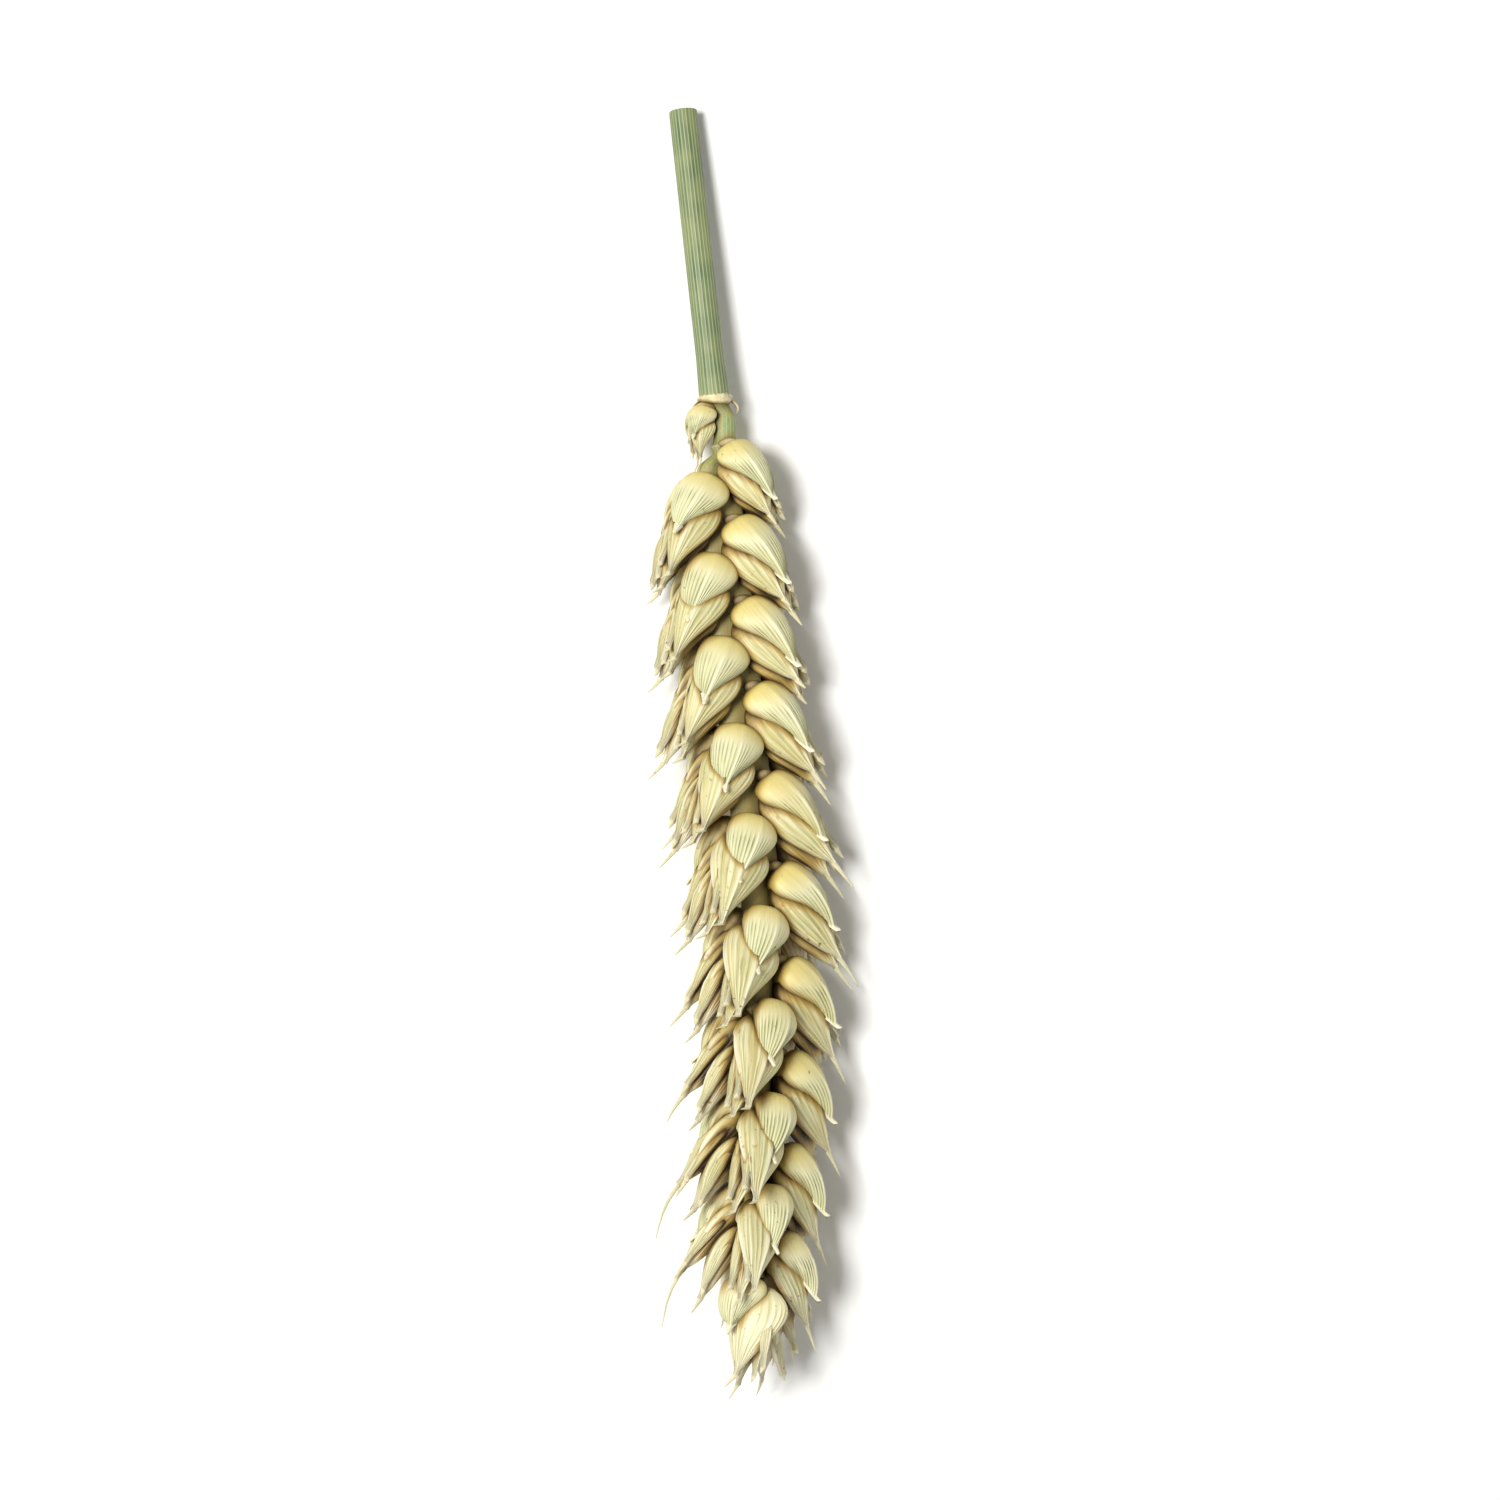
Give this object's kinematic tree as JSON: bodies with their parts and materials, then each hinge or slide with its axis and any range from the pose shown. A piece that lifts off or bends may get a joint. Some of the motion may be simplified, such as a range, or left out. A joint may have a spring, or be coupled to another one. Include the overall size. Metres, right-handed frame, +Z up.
{
  "type": "wheat ear",
  "caption": "Awnless bread wheat ear lying on its side, two rows of plump glumes twisting slightly to a tufted tip, on a short cut length of green straw.",
  "frame": {"origin": "middle of the part's footprint, on the ground it lies on", "axes": "+Z up; the ear lies along Y with its tip towards -Y and the cut straw towards +Y"},
  "size_m": [0.0204, 0.127, 0.0175],
  "materials": {
    "ear": "matte",
    "straw": "satin"
  },
  "bodies": {
    "root": {"ear": "ear", "straw": "straw"}
  },
  "joints": []
}
